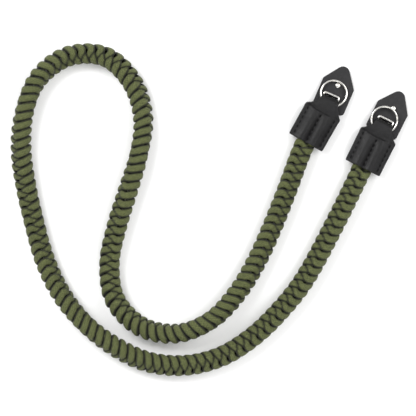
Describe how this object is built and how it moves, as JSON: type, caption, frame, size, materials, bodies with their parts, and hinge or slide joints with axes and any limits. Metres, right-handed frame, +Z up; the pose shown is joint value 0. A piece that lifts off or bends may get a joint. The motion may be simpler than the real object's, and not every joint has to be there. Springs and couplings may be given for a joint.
{
  "type": "camera neck strap",
  "caption": "Camera neck strap of thick knotted cord, laid flat in an open loop, with stitched leather ends that hold split rings on pointed leather pads.",
  "frame": {"origin": "middle of the strap's outline, on the table that it lies on", "axes": "+X to the right along the loop's longer extent, +Y from the loop's lower bend towards its rings, +Z up from the table"},
  "size_m": [0.2633, 0.2191, 0.0121],
  "materials": {
    "rope": "matt woven sheath, olive green",
    "end_leather": "smooth black, soft sheen",
    "ring_pad": "fine grained black",
    "fittings": "bright nickel",
    "rings": "bright nickel"
  },
  "bodies": {
    "root": {"rope": "rope", "end_leather_left": "end_leather", "end_leather_right": "end_leather", "ring_pad_left": "ring_pad", "ring_pad_right": "ring_pad", "slot_bar_left": "fittings", "slot_bar_right": "fittings", "pad_rivet_left": "fittings", "pad_rivet_right": "fittings", "split_ring_left": "rings", "split_ring_right": "rings"}
  },
  "joints": []
}
